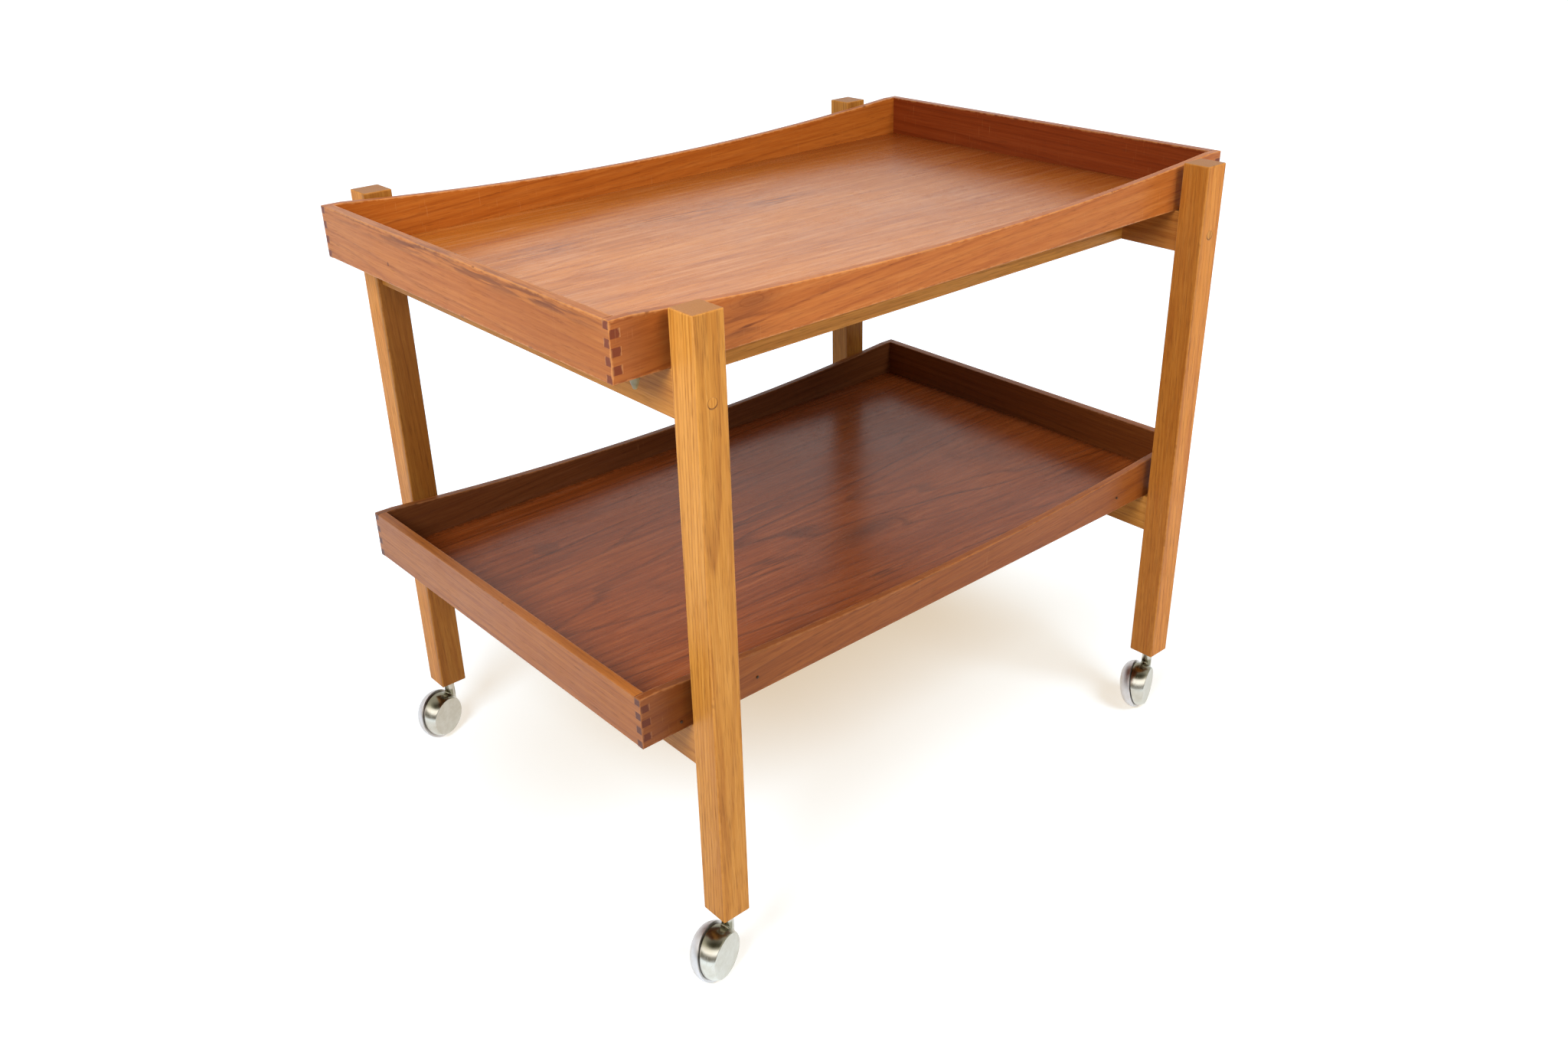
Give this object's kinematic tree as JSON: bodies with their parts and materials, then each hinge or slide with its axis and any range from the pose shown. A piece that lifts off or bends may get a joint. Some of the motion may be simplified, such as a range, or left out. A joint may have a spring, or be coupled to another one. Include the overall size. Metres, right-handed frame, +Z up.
{
  "type": "serving trolley",
  "caption": "Two-tier wooden serving trolley: finger-jointed trays with dished sides on a square-legged frame that rolls on swivelling ball casters; the top tray lifts off.",
  "frame": {"origin": "on the floor, under the middle of the trays", "axes": "+X along the trays, to the right as pictured; +Y to the back; +Z up"},
  "size_m": [0.78, 0.5655, 0.65],
  "materials": {
    "oak": "oiled",
    "beech": "raw",
    "upper_teak": "satin",
    "upper_teak_floor": "satin",
    "lower_teak": "satin",
    "lower_teak_floor": "satin",
    "tray_foot": "matte",
    "steel": "satin",
    "chrome": "polished",
    "wheel_metal": "satin"
  },
  "bodies": {
    "frame": {"front_left_leg": "oak", "front_right_leg": "oak", "back_left_leg": "oak", "back_right_leg": "oak", "upper_left_cross_rail": "oak", "lower_left_cross_rail": "oak", "upper_right_cross_rail": "oak", "lower_right_cross_rail": "oak", "front_long_rail": "oak", "back_long_rail": "oak", "cross_rail_dowels": "beech", "long_rail_dowels": "beech", "rail_screws": "steel", "leg_plugs": "oak", "lower_tray_front_side": "lower_teak", "lower_tray_back_side": "lower_teak", "lower_tray_left_end": "lower_teak", "lower_tray_right_end": "lower_teak", "lower_tray_panel": "lower_teak_floor", "front_left_caster_socket": "steel", "front_right_caster_socket": "steel", "back_left_caster_socket": "steel", "back_right_caster_socket": "steel"},
    "upper_tray": {"upper_tray_front_side": "upper_teak", "upper_tray_back_side": "upper_teak", "upper_tray_left_end": "upper_teak", "upper_tray_right_end": "upper_teak", "upper_tray_panel": "upper_teak_floor", "upper_tray_feet": "tray_foot"},
    "front_left_caster": {"front_left_caster_hood": "chrome", "front_left_caster_stem": "steel", "front_left_caster_axle": "steel"},
    "front_left_wheel": {"front_left_caster_wheel": "wheel_metal"},
    "front_right_caster": {"front_right_caster_hood": "chrome", "front_right_caster_stem": "steel", "front_right_caster_axle": "steel"},
    "front_right_wheel": {"front_right_caster_wheel": "wheel_metal"},
    "back_left_caster": {"back_left_caster_hood": "chrome", "back_left_caster_stem": "steel", "back_left_caster_axle": "steel"},
    "back_left_wheel": {"back_left_caster_wheel": "wheel_metal"},
    "back_right_caster": {"back_right_caster_hood": "chrome", "back_right_caster_stem": "steel", "back_right_caster_axle": "steel"},
    "back_right_wheel": {"back_right_caster_wheel": "wheel_metal"}
  },
  "joints": [
    {"name": "upper_tray_lift", "type": "slide", "parent": "frame", "child": "upper_tray", "axis": [0, 0, 1], "range_m": [0, 0.15]},
    {"name": "front_left_caster_swivel", "type": "hinge", "parent": "frame", "child": "front_left_caster", "pos_m": [-0.327, -0.262, 0.07], "axis": [0, 0, 1], "continuous": true},
    {"name": "front_left_wheel_spin", "type": "hinge", "parent": "front_left_caster", "child": "front_left_wheel", "pos_m": [-0.34434, -0.26406, 0.02863], "axis": [0.3319, -0.9118, 0.2419], "continuous": true},
    {"name": "front_right_caster_swivel", "type": "hinge", "parent": "frame", "child": "front_right_caster", "pos_m": [0.327, -0.262, 0.07], "axis": [0, 0, 1], "continuous": true},
    {"name": "front_right_wheel_spin", "type": "hinge", "parent": "front_right_caster", "child": "front_right_wheel", "pos_m": [0.30966, -0.26406, 0.02863], "axis": [0.3319, -0.9118, 0.2419], "continuous": true},
    {"name": "back_left_caster_swivel", "type": "hinge", "parent": "frame", "child": "back_left_caster", "pos_m": [-0.327, 0.262, 0.07], "axis": [0, 0, 1], "continuous": true},
    {"name": "back_left_wheel_spin", "type": "hinge", "parent": "back_left_caster", "child": "back_left_wheel", "pos_m": [-0.34434, 0.25994, 0.02863], "axis": [0.3319, -0.9118, 0.2419], "continuous": true},
    {"name": "back_right_caster_swivel", "type": "hinge", "parent": "frame", "child": "back_right_caster", "pos_m": [0.327, 0.262, 0.07], "axis": [0, 0, 1], "continuous": true},
    {"name": "back_right_wheel_spin", "type": "hinge", "parent": "back_right_caster", "child": "back_right_wheel", "pos_m": [0.30966, 0.25994, 0.02863], "axis": [0.3319, -0.9118, 0.2419], "continuous": true}
  ]
}
